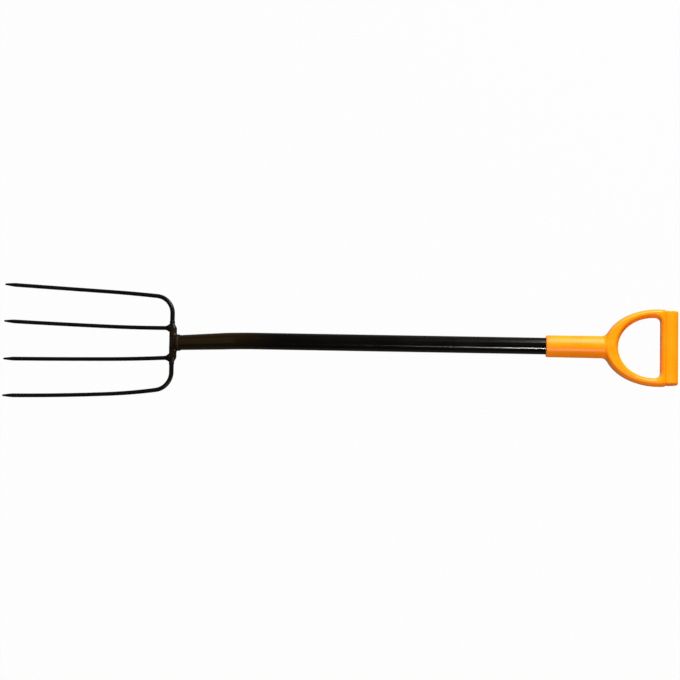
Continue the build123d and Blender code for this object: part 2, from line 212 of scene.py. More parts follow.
RING_CENTRE = SHAFT_RUN + SOCKET_LENGTH + RING_REACH
RING_START = RING_CENTRE - RING_REACH
OPENING_CENTRE = RING_CENTRE - OPENING_BACK
OPENING_REACH = RING_REACH - RING_ROOT_LENGTH - OPENING_BACK
OPENING_HALF_WIDTH = RING_HALF_WIDTH - RING_ARM_WIDTH
BAR_MIDDLE = RING_CENTRE + BAR_FORWARD
BAR_INNER = BAR_MIDDLE - BAR_HALF_DEPTH
BAR_FACE = BAR_MIDDLE + BAR_HALF_DEPTH - BAR_FLAT_CUT
BAR_HALF_LENGTH = RING_HALF_WIDTH - BAR_SHORT
SEAM = BAR_MIDDLE - SEAM_BACK
SCREW_PLACE = SHAFT_RUN + SCREW_FROM_MOUTH
SCREW_HEAD_LEVEL = -GRIP_DROP - SOCKET_MOUTH_RADIUS + SCREW_SUNK
HEAD_SLOPE = (SCREW_HEAD_RADIUS - SCREW_RADIUS) / SCREW_HEAD_HEIGHT
MM_PER_METRE = 1000


def tool_placement():
    """Matrix from the tool's frame, in millimetres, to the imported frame, in metres."""
    mounts = {mount["name"]: mount for mount in frame["record"]["mounts"]}
    along = Vector(mounts["grip_end"]["axis"]).normalized()
    out = Vector(mounts["hanging_opening"]["axis"]).normalized()
    across = out.cross(along)
    turn = Matrix((along, across, out)).transposed()
    face = turn @ Vector((BAR_FACE, 0, -GRIP_DROP)) / MM_PER_METRE
    crank = Vector(mounts["grip_end"]["pos_m"]) - face
    return Matrix.Translation(crank) @ turn.to_4x4() @ Matrix.Scale(1 / MM_PER_METRE, 4)


PLACEMENT = tool_placement()


# ---------------------------------------------------------------- node helpers

def new_tree(name, kind, inputs, results, result_kind):
    """Node tree with named inputs, each of a given kind or with a number to start from."""
    tree = bpy.data.node_groups.new(name, kind)
    for label, value in inputs.items():
        if isinstance(value, str):
            tree.interface.new_socket(label, in_out="INPUT", socket_type=value)
        else:
            number = "NodeSocketInt" if isinstance(value, int) else "NodeSocketFloat"
            socket = tree.interface.new_socket(label, in_out="INPUT", socket_type=number)
            socket.default_value = value
    for label in results:
        tree.interface.new_socket(label, in_out="OUTPUT", socket_type=result_kind)
    return tree


def node(tree, kind, values=None, **settings):
    """Adds a node: settings are its properties, values its sockets, as constants or links."""
    made = tree.nodes.new(kind)
    for key, setting in settings.items():
        setattr(made, key, setting)
    for key, value in (values or {}).items():
        if isinstance(value, bpy.types.NodeSocket):
            tree.links.new(value, made.inputs[key])
        else:
            made.inputs[key].default_value = value
    return made


def math_node(tree, operation, first, second=0.0, clamp=False):
    """Result of a Math node."""
    return node(
        tree, "ShaderNodeMath", {0: first, 1: second}, operation=operation, use_clamp=clamp
    ).outputs[0]


def ranged(tree, value, low, high, to_low=0.0, to_high=1.0, steps="SMOOTHSTEP"):
    """A value mapped from one range to another."""
    return node(
        tree,
        "ShaderNodeMapRange",
        {"Value": value, "From Min": low, "From Max": high, "To Min": to_low, "To Max": to_high},
        interpolation_type=steps,
    ).outputs["Result"]


def noise(tree, place, scale, detail, values=None, **settings):
    """Value of a noise texture at a place."""
    values = {"Vector": place, "Scale": scale, "Detail": detail, **(values or {})}
    return node(tree, "ShaderNodeTexNoise", values, **settings).outputs[0]


def swing(tree, value, reach, level=0.5):
    """A noise's value turned into a swing to both sides of zero."""
    return math_node(tree, "MULTIPLY", math_node(tree, "SUBTRACT", value, level), reach)


def object_place(tree):
    """Object coordinates."""
    return node(tree, "ShaderNodeTexCoord").outputs["Object"]


# ---------------------------------------------------------------- shared finish effects

NIBS_PER_METRE = 260.0
NIB_WIDTH_SHARE = 0.12      # of the space between nibs
GLOSS_PATCHES_PER_METRE = 38.0
RUB_BREAKUP = 0.1           # how far noise shifts the edge that rubs
SCRATCH_SOFTNESS = 0.06


def effect_group(name, sizes, results):
    """Shader node group with numbers in and out: the tree, its inputs and the place."""
    tree = new_tree(name, "ShaderNodeTree", sizes, results, "NodeSocketFloat")
    return tree, tree.nodes.new("NodeGroupInput").outputs, object_place(tree)


def put_out(tree, results):
    """Ends a group with its results."""
    node(tree, "NodeGroupOutput", results).is_active_output = True
    return tree


def powder_grain_group():
    """Skin of a powder coat: fine orange peel, with the odd nib of dust under it."""
    tree, sizes, place = effect_group(
        "powder_grain",
        {"Peel per metre": 900.0, "Roughness": 0.3, "Roughness spread": 0.06, "Nibs": 0.3},
        ("Height", "Roughness"),
    )
    peel = noise(tree, place, sizes["Peel per metre"], 2.0, {"Roughness": 0.45})
    nib = node(
        tree,
        "ShaderNodeTexVoronoi",
        {"Vector": place, "Scale": NIBS_PER_METRE, "Randomness": 1.0},
    ).outputs["Distance"]
    nib_height = ranged(tree, nib, 0.0, NIB_WIDTH_SHARE, 1.0, 0.0)
    raised = math_node(tree, "MULTIPLY", nib_height, sizes["Nibs"])
    patches = noise(tree, place, GLOSS_PATCHES_PER_METRE, 4.0)
    drift = swing(tree, patches, sizes["Roughness spread"])
    rough = math_node(tree, "ADD", sizes["Roughness"], drift, clamp=True)
    return put_out(tree, {"Height": math_node(tree, "ADD", peel, raised), "Roughness": rough})


def edge_rub_group():
    """Mask of the convex edges that rub first, broken up by noise."""
    tree, sizes, place = effect_group(
        "edge_rub", {"Start": 0.53, "Full": 0.6, "Breakup per metre": 300.0}, ("Mask",)
    )
    edge = node(tree, "ShaderNodeNewGeometry").outputs["Pointiness"]
    spread = swing(tree, noise(tree, place, sizes["Breakup per metre"], 3.0), RUB_BREAKUP)
    shifted = math_node(tree, "ADD", edge, spread)
    mask = ranged(tree, shifted, sizes["Start"], sizes["Full"], steps="LINEAR")
    return put_out(tree, {"Mask": mask})


def fine_scratches_group():
    """Mask of thin handling scratches that run along the tool."""
    tree, sizes, place = effect_group(
        "fine_scratches",
        {"Per metre across": 900.0, "Per metre along": 25.0, "Sparseness": 0.68},
        ("Mask",),
    )
    across = sizes["Per metre across"]
    stretch = node(
        tree, "ShaderNodeCombineXYZ", {"X": sizes["Per metre along"], "Y": across, "Z": across}
    ).outputs[0]
    long_grain = node(
        tree, "ShaderNodeVectorMath", {0: place, 1: stretch}, operation="MULTIPLY"
    ).outputs[0]
    full = math_node(tree, "ADD", sizes["Sparseness"], SCRATCH_SOFTNESS)
    streaks = noise(tree, long_grain, 1.0, 2.0)
    mask = ranged(tree, streaks, sizes["Sparseness"], full, steps="LINEAR")
    return put_out(tree, {"Mask": mask})


POWDER_GRAIN = powder_grain_group()
EDGE_RUB = edge_rub_group()
FINE_SCRATCHES = fine_scratches_group()


def effect(tree, group, values=None):
    """Places a shared effect in a material, with its own values."""
    return node(tree, "ShaderNodeGroup", values, node_tree=group).outputs


def new_material(name):
    """Empty node material and its tree."""
    material = bpy.data.materials.new(name)
    material.use_nodes = True
    material.node_tree.nodes.clear()
    return material, material.node_tree


def surfaced(material, shader_kind, values):
    """The material, ended with a shader of these values."""
    shader = node(material.node_tree, shader_kind, values)
    node(material.node_tree, "ShaderNodeOutputMaterial", {"Surface": shader.outputs[0]})
    return material


def bumped(tree, height, strength, distance):
    """Normal of a bump."""
    values = {"Height": height, "Strength": strength, "Distance": distance}
    return node(tree, "ShaderNodeBump", values).outputs[0]


# Sockets of a Mix node that mixes colours; the others of their names are for plain numbers.
MIX_SHARE, MIX_FIRST, MIX_SECOND, MIX_RESULT = 0, 6, 7, 2


def blended(tree, share, first, second):
    """Colour between two colours."""
    return node(
        tree,
        "ShaderNodeMix",
        {MIX_SHARE: share, MIX_FIRST: first, MIX_SECOND: second},
        data_type="RGBA",
        clamp_factor=True,
    ).outputs[MIX_RESULT]


# ---------------------------------------------------------------- finishes

# Painted reflection: a warm brown blended into the coats round the neck weld, standing in for
# warm light on the neck.
PAINTED_WARM_REFLECTION = (0.014, 0.008, 0.0022, 1)
WARM_REFLECTION_CENTRE = PLACEMENT @ NECK_SEAM
COAT_SPECULAR = 0.15
COAT_CLOUDS_PER_METRE = 14.0
SCRATCH_SHARE = 0.25        # of a full rub, in colour
SCUFF_ROUGHNESS = 0.12


def powder_coat(
    name,
    colour,
    drift_colour,
    rubbed_colour,
    rough,
    peel_height,
    rub_start,
    rub_full,
    painted_reflection_reach,
):
    """Satin powder coat over steel, a little rubbed on its edges.

    Round the neck weld a warm brown is painted into it, a painted reflection of warm light:
    the reach pair says within how many metres of the weld it is fully brown, and how many
    metres away it is black again.
    """
    material, tree = new_material(name)
    place = object_place(tree)
    grain = effect(tree, POWDER_GRAIN, {"Roughness": rough})
    rub = effect(tree, EDGE_RUB, {"Start": rub_start, "Full": rub_full})["Mask"]
    scratch = effect(tree, FINE_SCRATCHES)["Mask"]
    cloud = noise(tree, place, COAT_CLOUDS_PER_METRE, 3.0)
    coat = blended(tree, ranged(tree, cloud, 0.35, 0.7), colour, drift_colour)
    away = node(
        tree, "ShaderNodeVectorMath", {0: place, 1: WARM_REFLECTION_CENTRE}, operation="DISTANCE"
    ).outputs["Value"]
    # Painted reflection of warm light: brown near the neck weld, fading to the black coat further
    # away.
    coat = blended(tree, ranged(tree, away, *painted_reflection_reach), PAINTED_WARM_REFLECTION, coat)
    worn = math_node(tree, "MAXIMUM", rub, math_node(tree, "MULTIPLY", scratch, SCRATCH_SHARE))
    scuffed = math_node(tree, "MULTIPLY", worn, SCUFF_ROUGHNESS)
    return surfaced(
        material,
        "ShaderNodeBsdfPrincipled",
        {
            "Base Color": blended(tree, worn, coat, rubbed_colour),
            "Roughness": math_node(tree, "ADD", grain["Roughness"], scuffed, clamp=True),
            "Specular IOR Level": COAT_SPECULAR,
            "Normal": bumped(tree, grain["Height"], 0.5, peel_height),
        },
    )


PLASTIC_SPECULAR = 0.12
PLASTIC_GRAIN_PER_METRE = 1500.0
PLASTIC_GRAIN_HEIGHT = 0.00008
FLOW_CLOUDS_PER_METRE = 22.0
PLASTIC_ORANGE = (0.94, 0.215, 0.002, 1)
PLASTIC_FLOW_ORANGE = (0.97, 0.24, 0.003, 1)
PLASTIC_RUBBED = (1.0, 0.34, 0.03, 1)
PLASTIC_RUB_SHARE = 0.3
PLASTIC_SCRATCH_ROUGHNESS = 0.08


def grip_plastic():
    """Moulded orange plastic: a fine grain, flow clouds, rubbed edges and fine scratches."""
    material, tree = new_material("grip_orange_plastic")
    place = object_place(tree)
    grain = noise(tree, place, PLASTIC_GRAIN_PER_METRE, 2.0)
    cloud = noise(tree, place, FLOW_CLOUDS_PER_METRE, 3.0, {"Distortion": 0.6})
    rub_sizes = {"Start": 0.55, "Full": 0.66, "Breakup per metre": 160.0}
    rub = effect(tree, EDGE_RUB, rub_sizes)["Mask"]
    scratch = effect(tree, FINE_SCRATCHES, {"Sparseness": 0.7})["Mask"]
    body = blended(tree, ranged(tree, cloud, 0.3, 0.7), PLASTIC_ORANGE, PLASTIC_FLOW_ORANGE)
    rubbed = math_node(tree, "MULTIPLY", rub, PLASTIC_RUB_SHARE)
    marks = math_node(tree, "MULTIPLY", scratch, PLASTIC_SCRATCH_ROUGHNESS)
    gloss = ranged(tree, cloud, 0.25, 0.75, to_low=0.3, to_high=0.38)
    return surfaced(
        material,
        "ShaderNodeBsdfPrincipled",
        {
            "Base Color": blended(tree, rubbed, body, PLASTIC_RUBBED),
            "Roughness": math_node(tree, "ADD", gloss, marks, clamp=True),
            "Specular IOR Level": PLASTIC_SPECULAR,
            "Normal": bumped(tree, grain, 0.35, PLASTIC_GRAIN_HEIGHT),
        },
    )


ZINC_PATCHES_PER_METRE = 700.0
ZINC_DULL = (0.42, 0.42, 0.43, 1)
ZINC_BRIGHT = (0.56, 0.55, 0.53, 1)
ZINC_RUBBED = (0.7, 0.7, 0.7, 1)


def zinc_plate():
    """Bright zinc on the screw, with dull patches."""
    material, tree = new_material("screw_zinc_plate")
    patches = noise(tree, object_place(tree), ZINC_PATCHES_PER_METRE, 4.0)
    rub_sizes = {"Start": 0.52, "Full": 0.6, "Breakup per metre": 900.0}
    rub = effect(tree, EDGE_RUB, rub_sizes)["Mask"]
    plate = blended(tree, ranged(tree, patches, 0.35, 0.65), ZINC_DULL, ZINC_BRIGHT)
    return surfaced(
        material,
        "ShaderNodeBsdfPrincipled",
        {
            "Base Color": blended(tree, rub, plate, ZINC_RUBBED),
            "Roughness": ranged(tree, patches, 0.3, 0.7, to_low=0.25, to_high=0.45),
            "Metallic": 1.0,
        },
    )


SHAFT_COAT = powder_coat(
    "shaft_black_coat",
    colour=(0.002, 0.0016, 0.0014, 1),
    drift_colour=(0.0032, 0.0026, 0.0023, 1),
    rubbed_colour=(0.03, 0.028, 0.026, 1),
    rough=0.15,
    peel_height=0.000012,
    rub_start=0.6,
    rub_full=0.72,
    painted_reflection_reach=(0.07, 0.19),
)
HEAD_COAT = powder_coat(
    "head_black_coat",
    colour=(0.0022, 0.0016, 0.001, 1),
    drift_colour=(0.004, 0.0027, 0.0016, 1),
    rubbed_colour=(0.02, 0.017, 0.014, 1),
    rough=0.34,
    peel_height=0.00004,
    rub_start=0.6,
    rub_full=0.75,
    painted_reflection_reach=(0.018, 0.036),
)
WELD_COAT = powder_coat(
    "weld_black_coat",
    colour=(0.0022, 0.0016, 0.001, 1),
    drift_colour=(0.005, 0.0035, 0.002, 1),
    rubbed_colour=(0.03, 0.024, 0.018, 1),
    rough=0.46,
    peel_height=0.00006,
    rub_start=0.58,
    rub_full=0.7,
    painted_reflection_reach=(0.018, 0.036),
)
GRIP_ORANGE = grip_plastic()
SCREW_ZINC = zinc_plate()


# ---------------------------------------------------------------- making and fitting pieces

def fit(piece, nodes, material=None):
    """Lays a finished piece into the frame and ties it to the CAD nodes that it stands for."""
    piece.data.transform(PLACEMENT)
    piece.data.update()
    if material:
        piece.data.materials.clear()
        piece.data.materials.append(material)
    for polygon in piece.data.polygons:
        polygon.use_smooth = True
    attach(piece, "root")
    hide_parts(*nodes)
    return piece


def mesh_piece(name, points, faces):
    """Object of a mesh given by its points and faces."""
    mesh = bpy.data.meshes.new(name)
    mesh.from_pydata([tuple(point) for point in points], [], [tuple(face) for face in faces])
    mesh.validate()
    piece = bpy.data.objects.new(name, mesh)
    bpy.context.scene.collection.objects.link(piece)
    return piece


def grown(name, tree, values, source=None):
    """Mesh object that a Geometry Nodes tree makes, from a source object if one is given."""
    holder = source or mesh_piece(name + "_seed", [], [])
    modifier = holder.modifiers.new("grow", "NODES")
    modifier.node_group = tree
    sockets = {
        item.name: item.identifier
        for item in tree.interface.items_tree
        if item.item_type == "SOCKET" and item.in_out == "INPUT"
    }
    for label, value in values.items():
        modifier[sockets[label]] = value
    bpy.context.view_layer.update()
    seen = holder.evaluated_get(bpy.context.evaluated_depsgraph_get())
    mesh = bpy.data.meshes.new_from_object(seen)
    holder.modifiers.remove(modifier)
    bpy.data.objects.remove(holder)
    piece = bpy.data.objects.new(name, mesh)
    bpy.context.scene.collection.objects.link(piece)
    return piece


def joined(name, pieces):
    """One mesh object out of several, which it uses up."""
    points = []
    faces = []
    for piece in pieces:
        start = len(points)
        points += [vertex.co.copy() for vertex in piece.data.vertices]
        for polygon in piece.data.polygons:
            faces.append([start + index for index in polygon.vertices])
        bpy.data.objects.remove(piece)
    return mesh_piece(name, points, faces)


# ---------------------------------------------------------------- geometry trees

RING_WOBBLE = 2.2           # turns by which noise shifts the weld rings
SMALLEST_DROP = 0.88        # scale of the smallest weld drop, beside the largest
RANDOM_LOW, RANDOM_HIGH, RANDOM_VALUE = 2, 3, 1     # a Random Value node's number sockets


def growing_tree(name, inputs, result):
    """Geometry tree with a finish for its last input: the tree and its inputs."""
    inputs = {**inputs, "Finish": "NodeSocketMaterial"}
    tree = new_tree(name, "GeometryNodeTree", inputs, [result], "NodeSocketGeometry")
    return tree, tree.nodes.new("NodeGroupInput").outputs


def scaled(tree, vector, factor):
    """Vector times a number."""
    values = {0: vector, "Scale": factor}
    return node(tree, "ShaderNodeVectorMath", values, operation="SCALE").outputs[0]


def pushed_out(tree, geometry, height):
    """Geometry moved along its normals."""
    normal = node(tree, "GeometryNodeInputNormal").outputs[0]
    values = {"Geometry": geometry, "Offset": scaled(tree, normal, height)}
    return node(tree, "GeometryNodeSetPosition", values).outputs["Geometry"]


def grow(tree, result, geometry, finish):
    """Ends a geometry tree: smooth, realised, and in its finish."""
    smooth = node(tree, "GeometryNodeSetShadeSmooth", {"Geometry": geometry}).outputs[0]
    real = node(tree, "GeometryNodeRealizeInstances", {"Geometry": smooth}).outputs[0]
    values = {"Geometry": real, "Material": finish}
    return put_out(tree, {result: node(tree, "GeometryNodeSetMaterial", values).outputs[0]})


def drawn_rod_tree():
    """Round rod along a curve with its own radii: slightly uneven, with optional weld rings."""
    tree, given = growing_tree(
        "drawn_rod",
        {
            "Path": "NodeSocketGeometry",
            "Sides": 24,
            "Unevenness": 0.05,
            "Unevenness per mm": 0.08,
            "Ring height": 0.0,
            "Ring pitch": 2.0,
            "Seed": 0.0,
        },
        "Rod",
    )
    length = node(tree, "GeometryNodeSplineParameter").outputs["Length"]
    marked = node(
        tree, "GeometryNodeCaptureAttribute", {"Geometry": given["Path"]}, domain="POINT"
    )
    marked.capture_items.new("FLOAT", "distance")
    tree.links.new(length, marked.inputs["distance"])
    section = node(
        tree, "GeometryNodeCurvePrimitiveCircle", {"Resolution": given["Sides"], "Radius": 1.0}
    ).outputs["Curve"]
    swept = node(
        tree,
        "GeometryNodeCurveToMesh",
        {
            "Curve": marked.outputs["Geometry"],
            "Profile Curve": section,
            "Scale": node(tree, "GeometryNodeInputRadius").outputs[0],
            "Fill Caps": True,
        },
    ).outputs["Mesh"]
    cloud = noise(
        tree,
        node(tree, "GeometryNodeInputPosition").outputs[0],
        given["Unevenness per mm"],
        3.0,
        {"W": given["Seed"]},
        noise_dimensions="4D",
    )
    uneven = swing(tree, cloud, given["Unevenness"])
    turns = math_node(tree, "DIVIDE", marked.outputs["distance"], given["Ring pitch"])
    turns = math_node(tree, "ADD", turns, swing(tree, cloud, RING_WOBBLE))
    wave = math_node(tree, "SINE", math_node(tree, "MULTIPLY", turns, 2 * math.pi))
    ring = math_node(tree, "MULTIPLY", math_node(tree, "ABSOLUTE", wave), given["Ring height"])
    height = math_node(tree, "SUBTRACT", math_node(tree, "MULTIPLY", uneven, 2.0), ring)
    return grow(tree, "Rod", pushed_out(tree, swept, height), given["Finish"])


def weld_bead_tree():
    """Bead round a seam, made of overlapping drops fused into one skin, about the Z axis."""
    tree, given = growing_tree(
        "weld_bead",
        {
            "Ring radius": 10.0,
            "Drops": 30,
            "Drop length": 2.0,
            "Drop width": 4.0,
            "Drop height": 1.5,
            "Voxel": 0.3,
            "Seed": 1,
        },
        "Bead",
    )
    ring = node(
        tree,
        "GeometryNodeCurvePrimitiveCircle",
        {"Resolution": given["Drops"], "Radius": given["Ring radius"]},
    ).outputs["Curve"]
    rotation = node(
        tree,
        "FunctionNodeAxesToRotation",
        {
            "Primary Axis": node(tree, "GeometryNodeInputTangent").outputs[0],
            "Secondary Axis": node(tree, "GeometryNodeInputPosition").outputs[0],
        },
        primary_axis="X",
        secondary_axis="Z",
    ).outputs[0]
    size = node(
        tree,
        "ShaderNodeCombineXYZ",
        {"X": given["Drop length"], "Y": given["Drop width"], "Z": given["Drop height"]},
    ).outputs[0]
    chance = node(
        tree,
        "FunctionNodeRandomValue",
        {RANDOM_LOW: SMALLEST_DROP, RANDOM_HIGH: 1.0, "Seed": given["Seed"]},
        data_type="FLOAT",
    ).outputs[RANDOM_VALUE]
    scale = scaled(tree, size, chance)
    drop = node(
        tree, "GeometryNodeMeshUVSphere", {"Segments": 16, "Rings": 10, "Radius": 1.0}
    ).outputs["Mesh"]
    drops = node(
        tree,
        "GeometryNodeInstanceOnPoints",
        {"Points": ring, "Instance": drop, "Rotation": rotation, "Scale": scale},
    ).outputs[0]
    real = node(tree, "GeometryNodeRealizeInstances", {"Geometry": drops}).outputs[0]
    filled = node(
        tree,
        "GeometryNodeMeshToVolume",
        {"Mesh": real, "Density": 1.0, "Voxel Size": given["Voxel"], "Interior Band Width": 1.5},
        resolution_mode="VOXEL_SIZE",
    ).outputs[0]
    skin = node(
        tree,
        "GeometryNodeVolumeToMesh",
        {"Volume": filled, "Threshold": 0.1},
        resolution_mode="GRID",
    ).outputs[0]
    return grow(tree, "Bead", skin, given["Finish"])


DRAWN_ROD = drawn_rod_tree()
WELD_BEAD = weld_bead_tree()


# ---------------------------------------------------------------- tines

def inner_heading(side):
    """How an inner tine leaves the yoke; side is 1 on the left, -1 on the right."""
    return HEAD_DIR * math.cos(INNER_SPLAY) + Vector((0, side * math.sin(INNER_SPLAY), 0))


def straight_run(start, end, steps):
    """Points from start to end, and the heading there."""
    heading = (end - start).normalized()
    return [start.lerp(end, step / steps) for step in range(steps + 1)], heading


def tangent_arc(start, heading, end, steps):
    """Points of an arc that leaves start on a heading and meets end, and its last heading."""
    chord = end - start
    aside = chord - heading * chord.dot(heading)
    inward = aside.normalized()
    half_turn = math.atan2(aside.length, chord.dot(heading))
    radius = chord.length / (2 * math.sin(half_turn))
    centre = start + inward * radius
    points = []
    for step in range(steps + 1):
        angle = 2 * half_turn * step / steps
        points.append(centre + (heading * math.sin(angle) - inward * math.cos(angle)) * radius)
    return points, heading * math.cos(2 * half_turn) + inward * math.sin(2 * half_turn)


def rod_stations(runs, radii):
    """Points and radii along tangent runs; radii holds one for each run's start and the end."""
    stations = []
    for (points, _), start_radius, end_radius in zip(runs, radii[:-1], radii[1:]):
        for index, point in enumerate(points[:-1]):
            share = index / (len(points) - 1)
            stations.append((point, start_radius + (end_radius - start_radius) * share))
    stations.append((runs[-1][0][-1], radii[-1]))
    return stations


def curve_object(name, stations):
    """Poly curve with a radius at each point."""
    curve = bpy.data.curves.new(name, "CURVE")
    curve.dimensions = "3D"
    spline = curve.splines.new("POLY")
    spline.points.add(len(stations) - 1)
    for point, (place, radius) in zip(spline.points, stations):
        point.co = (*place, 1)
        point.radius = radius
    path = bpy.data.objects.new(name, curve)
    bpy.context.scene.collection.objects.link(path)
    return path


def point_stations(end, heading, start_radius):
    """The drawn-out point of a tine, slightly bellied, with a blunted tip."""
    stations = []
    for step in range(1, POINT_STEPS + 1):
        share = step / POINT_STEPS
        taper = start_radius + (POINT_RADIUS - start_radius) * share**POINT_FULLNESS
        past = max(0.0, (share - 1 + POINT_BLUNT_SHARE) / POINT_BLUNT_SHARE)
        radius = taper * math.sqrt(max(0.0, 1 - past**2))
        stations.append(
            (end + heading * POINT_LENGTH * share, max(POINT_LEAST_RADIUS, radius))
        )
    return stations


def tine(name, side, outer, seed):
    """A tine from the yoke to its point; side is 1 on the left, -1 on the right."""
    across = Vector((0, side, 0))
    if outer:
        forward = Vector((-math.cos(CORNER_DIP), 0, -math.sin(CORNER_DIP)))
        start = ROD_LINE + across * YOKE_HALF
        turn = ROD_LINE + across * CORNER_START
        leave = turn + forward * CORNER_RADIUS * (1 - math.sin(OUTER_SPLAY))
        leave += across * (OUTER_LEAVE_HALF - CORNER_START)
        belly_half = OUTER_BELLY_HALF
        end_half = OUTER_END_HALF
        runs = [
            straight_run(start, turn, SHORT_STEPS),
            tangent_arc(turn, across, leave, CORNER_STEPS),
        ]
        radii = [ROD_RADIUS, ROD_RADIUS, CORNER_ROD_RADIUS, TINE_RADIUS, TINE_RADIUS]
    else:
        slope = math.tan(INNER_SPLAY)
        heading = inner_heading(side)
        start = YOKE_MIDDLE + HEAD_DIR * TINE_SEAT + across * INNER_ROOT_HALF
        weld_end = start + heading * (FLARE_END - TINE_SEAT)
        belly_half = INNER_ROOT_HALF + BELLY_DISTANCE * slope
        end_half = INNER_ROOT_HALF + END_DISTANCE * slope
        runs = [straight_run(start, weld_end, SHORT_STEPS)]
        radii = [INNER_ROOT_RADIUS, INNER_ROOT_RADIUS, TINE_RADIUS, TINE_RADIUS]
    belly = YOKE_MIDDLE + Vector((-BELLY_DISTANCE, side * belly_half, -BELLY_DROP))
    end = YOKE_MIDDLE + Vector((-END_DISTANCE, side * end_half, END_HEIGHT))
    runs.append(tangent_arc(runs[-1][0][-1], runs[-1][1], belly, BELLY_STEPS))
    runs.append(tangent_arc(belly, runs[-1][1], end, TIP_STEPS))
    stations = rod_stations(runs, radii)
    stations += point_stations(stations[-1][0], runs[-1][1], TINE_RADIUS)
    return grown(
        name,
        DRAWN_ROD,
        {
            "Sides": TINE_SIDES,
            "Unevenness": 0.09,
            "Unevenness per mm": 0.09,
            "Seed": float(seed),
            "Finish": HEAD_COAT,
        },
        source=curve_object(name + "_path", stations),
    )


for seed, (name, side, outer) in enumerate(
    (
        ("outer_tine_left", 1, True),
        ("inner_tine_left", 1, False),
        ("inner_tine_right", -1, False),
        ("outer_tine_right", -1, True),
    )
):
    fit(tine("forged_" + name, side, outer, seed), [name], HEAD_COAT)


# ---------------------------------------------------------------- shaft tube

# The outline's parts, as shares of its points: the back, a flank, the keel, the other flank.
BACK_END = 0.6
KEEL_START = 0.7
KEEL_END = 0.9
FLANK_SHARE = 0.1
SECTION_SHARES = (0.0, BACK_END, KEEL_START, KEEL_END, 1.0)
ROUND_DEGREES = (-45, 225, 255, 285, 315)


def drop_section(inset):
    """Points of the drop's outline, from its right flank over the back and round the keel."""
    back_radius = TUBE_BACK_RADIUS - inset
    keel_radius = TUBE_KEEL_RADIUS - inset
    keel_centre = TUBE_KEEL_DEPTH - TUBE_KEEL_RADIUS
    lean = math.asin((back_radius - keel_radius) / keel_centre)
    flank_normal = np.array([math.cos(lean), -math.sin(lean)])
    back = flank_normal * back_radius
    keel = flank_normal * keel_radius - [0, keel_centre]
    points = []
    for share in np.linspace(0, 1, TUBE_SIDES, endpoint=False):
        if share < BACK_END:
            angle = -lean + (math.pi + 2 * lean) * share / BACK_END
            points.append((back_radius * math.cos(angle), back_radius * math.sin(angle)))
        elif share < KEEL_START:
            spot = back + (keel - back) * (share - BACK_END) / FLANK_SHARE
            points.append((-spot[0], spot[1]))
        elif share < KEEL_END:
            along = (share - KEEL_START) / (KEEL_END - KEEL_START)
            angle = math.pi + lean + (math.pi - 2 * lean) * along
            points.append(
                (keel_radius * math.cos(angle), keel_radius * math.sin(angle) - keel_centre)
            )
        else:
            spot = back + (keel - back) * (1 - share) / FLANK_SHARE
            points.append((spot[0], spot[1]))
    return np.array(points)


def round_section(radius):
    """Circle with its points where the drop's are."""
    shares = np.linspace(0, 1, TUBE_SIDES, endpoint=False)
    angles = np.radians(np.interp(shares, SECTION_SHARES, ROUND_DEGREES))
    return np.column_stack((radius * np.cos(angles), radius * np.sin(angles)))


def shaft_stations():
    """Places along the tube: middle, upward direction, and how far it is swaged round there."""
    stations = []
    neck_up = Vector((-math.sin(CRANK), 0, math.cos(CRANK)))
    taper_end = YOKE_MIDDLE + NECK_DIR * TAPER_START
    for share in np.linspace(0, 1, NECK_ROWS, endpoint=False):
        stations.append((NECK_SEAM.lerp(taper_end, share), neck_up, 1 - share))
    centre = Vector((CRANK_TANGENT, 0, -CRANK_RADIUS))
    for share in np.linspace(0, 1, CRANK_ROWS, endpoint=False):
        angle = CRANK * (1 - share)
        up = Vector((-math.sin(angle), 0, math.cos(angle)))
        stations.append((centre + up * CRANK_RADIUS, up, 0.0))
    upright = Vector((0, 0, 1))
    for share in np.linspace(0, 1, SHAFT_ROWS):
        reach = CRANK_TANGENT + (SHAFT_RUN + TUBE_IN_GRIP - CRANK_TANGENT) * share
        stations.append((Vector((reach, 0, 0)), upright, 0.0))
    return stations


def shaft_tube():
    """Seamless tube: outer and inner skins joined by rings at both ends."""
    stations = shaft_stations()
    across = Vector((0, 1, 0))
    skins = []
    for inset in (0.0, TUBE_WALL):
        drop = drop_section(inset)
        mouth = round_section(NECK_RADIUS - inset)
        skin = []
        for middle, up, swage in stations:
            section = drop + (mouth - drop) * swage
            skin.append([middle + across * float(y) + up * float(z) for y, z in section])
        skins.append(skin)
    outer, inner = skins
    loop = [*outer, *reversed(inner)]
    points = [point for row in loop for point in row]
    faces = []
    rows = len(loop)
    for row in range(rows):
        here = row * TUBE_SIDES
        there = (row + 1) % rows * TUBE_SIDES
        for step in range(TUBE_SIDES):
            following = (step + 1) % TUBE_SIDES
            faces.append((here + step, here + following, there + following, there + step))
    return mesh_piece("shaft_tube_drawn", points, faces)


fit(shaft_tube(), ["shaft_tube"], SHAFT_COAT)


# ---------------------------------------------------------------- shapes from distance fields

def rounded_cut(first, second, radius):
    """Intersection of two fields with a rounded edge."""
    both = np.hypot(np.maximum(first + radius, 0), np.maximum(second + radius, 0))
    return np.minimum(np.maximum(first, second), -radius) + both


def soft_union(first, second, radius):
    """Union of two fields with a fillet between them."""
    near = np.maximum(radius - np.abs(first - second), 0) / radius
    return np.minimum(first, second) - near**2 * radius / 4


def ellipse_field(x, y, half_x, half_y):
    """Nearly the distance to an ellipse."""
    scaled = np.hypot(x / half_x, y / half_y)
    slope = np.hypot(x / half_x**2, y / half_y**2) + 1e-9
    return scaled * (scaled - 1) / slope


def smooth_step(value):
    """0 to 1 with a level start and end."""
    value = np.clip(value, 0, 1)
    return value * value * (3 - 2 * value)


